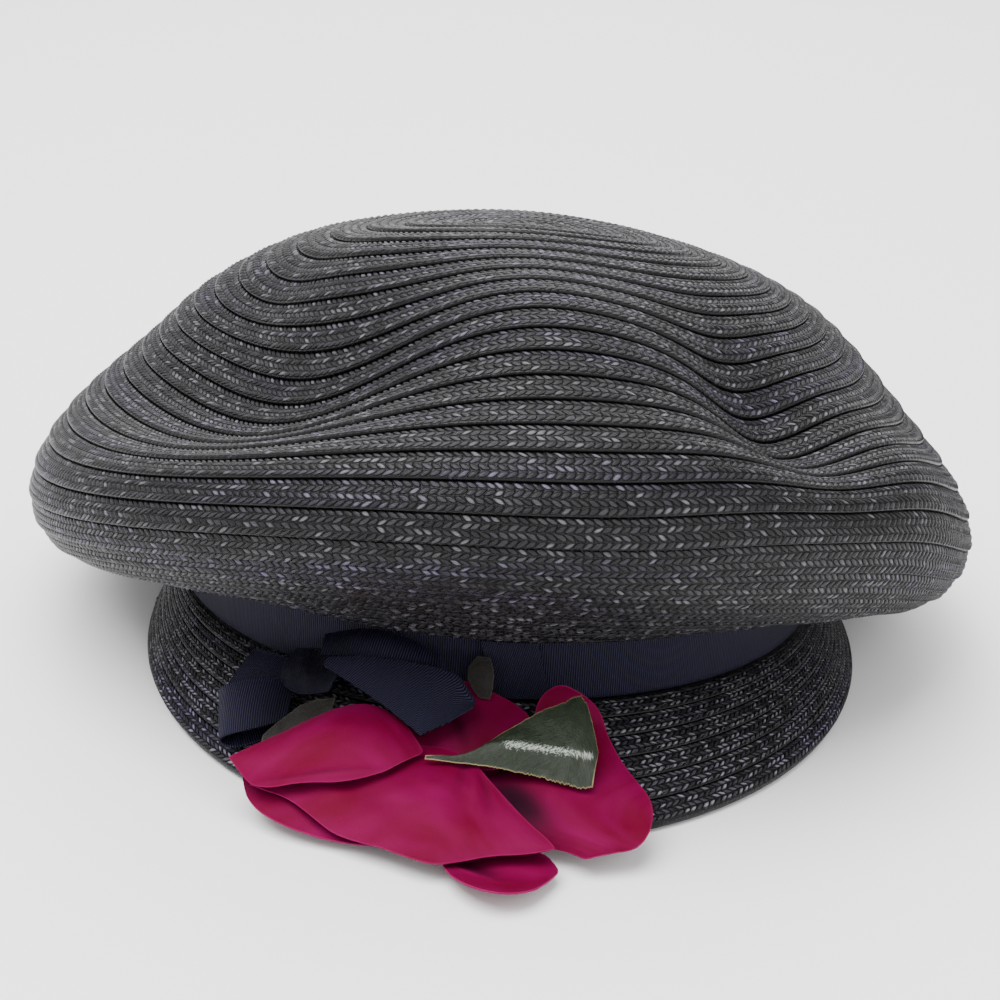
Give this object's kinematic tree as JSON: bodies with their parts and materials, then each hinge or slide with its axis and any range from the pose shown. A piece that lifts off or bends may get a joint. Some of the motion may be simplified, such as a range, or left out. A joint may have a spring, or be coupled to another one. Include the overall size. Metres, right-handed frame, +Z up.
{
  "type": "straw newsboy cap",
  "caption": "Soft newsboy cap of sewn straw braid with a puffed crown, a ribbed ribbon band, a braid peak, a flat ribbon bow and a silk rose with leaves.",
  "frame": {"origin": "centre of the bounding box's base, on the table", "axes": "+Z up, -Y towards the front of the peak, +X to the right seen from the front"},
  "size_m": [0.2558, 0.2908, 0.1184],
  "materials": {
    "straw": "sewn plaited straw, dark grey, faint shine",
    "ribbon": "navy grosgrain, fine cross ribs",
    "silk": "magenta silk, soft sheen",
    "leaf": "waxed green cloth, glossy",
    "dry_leaf": "dull brown cloth"
  },
  "bodies": {
    "root": {"crown": "straw", "hat_band": "ribbon", "band_cross_strip": "ribbon", "peak": "straw", "bow_front_tail": "ribbon", "bow_top_loop": "ribbon", "bow_knot": "ribbon", "bow_left_loop": "ribbon", "bow_left_tail": "ribbon", "petal_back": "silk", "petal_centre": "silk", "petal_right": "silk", "petal_middle": "silk", "petal_left": "silk", "petal_lower": "silk", "leaf_green": "leaf", "leaf_brown": "dry_leaf", "leaf_small": "leaf"}
  },
  "joints": []
}
